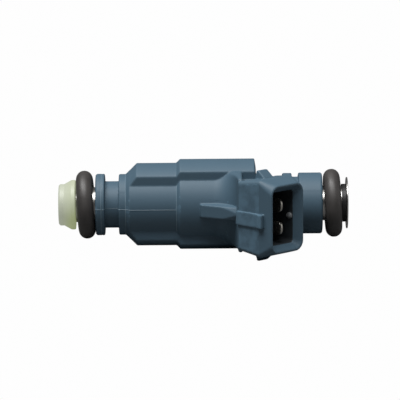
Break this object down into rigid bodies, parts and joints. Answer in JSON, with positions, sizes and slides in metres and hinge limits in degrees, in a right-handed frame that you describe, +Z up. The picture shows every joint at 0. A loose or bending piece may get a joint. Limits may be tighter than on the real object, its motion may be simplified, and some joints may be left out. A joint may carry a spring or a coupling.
{
  "type": "fuel injector",
  "caption": "Port fuel injector: steel valve and magnet in an overmoulded plastic body with an angled two-blade socket, seals at both ends and a needle that lifts.",
  "frame": {"origin": "on the injector's axis, in the middle plane of the lower O-ring", "axes": "+X along the injector's axis toward the fuel inlet, -Y to the socket side, +Z up, normal to the socket's plane"},
  "size_m": [0.0618, 0.0298, 0.0192],
  "materials": {
    "moulded_body": "blue-grey glass-filled nylon, fine moulded texture",
    "cap": "pale translucent plastic",
    "seal": "black fluorocarbon rubber, slight sheen",
    "black_plastic": "moulded",
    "bright_steel": "turned stainless steel",
    "magnet_steel": "turned soft magnetic steel",
    "terminal": "tinned bronze",
    "copper": "enamelled copper wire",
    "brass": "drawn brass"
  },
  "bodies": {
    "injector_body": {"housing": "moulded_body", "terminal_upper": "terminal", "terminal_lower": "terminal", "pintle_cap": "cap", "lower_o_ring": "seal", "upper_o_ring": "seal", "support_ring": "black_plastic", "valve_body": "bright_steel", "valve_seat": "bright_steel", "orifice_plate": "bright_steel", "return_spring": "bright_steel", "adjusting_sleeve": "brass", "spacer_sleeve": "bright_steel", "inlet_tube": "bright_steel", "magnet_jacket": "magnet_steel", "flux_washer": "magnet_steel", "coil_bobbin": "black_plastic", "coil_winding": "copper", "filter_collar": "brass", "filter_basket": "black_plastic", "filter_mesh": "bright_steel"},
    "needle": {"armature": "magnet_steel", "needle_tube": "bright_steel", "valve_ball": "bright_steel"}
  },
  "joints": [
    {"name": "needle_lift", "type": "slide", "parent": "injector_body", "child": "needle", "axis": [1, 0, 0], "range_m": [0, 0.00008], "stiffness_N_per_m": 1500, "springref_m": -0.00005, "deforming": ["return_spring"]}
  ]
}
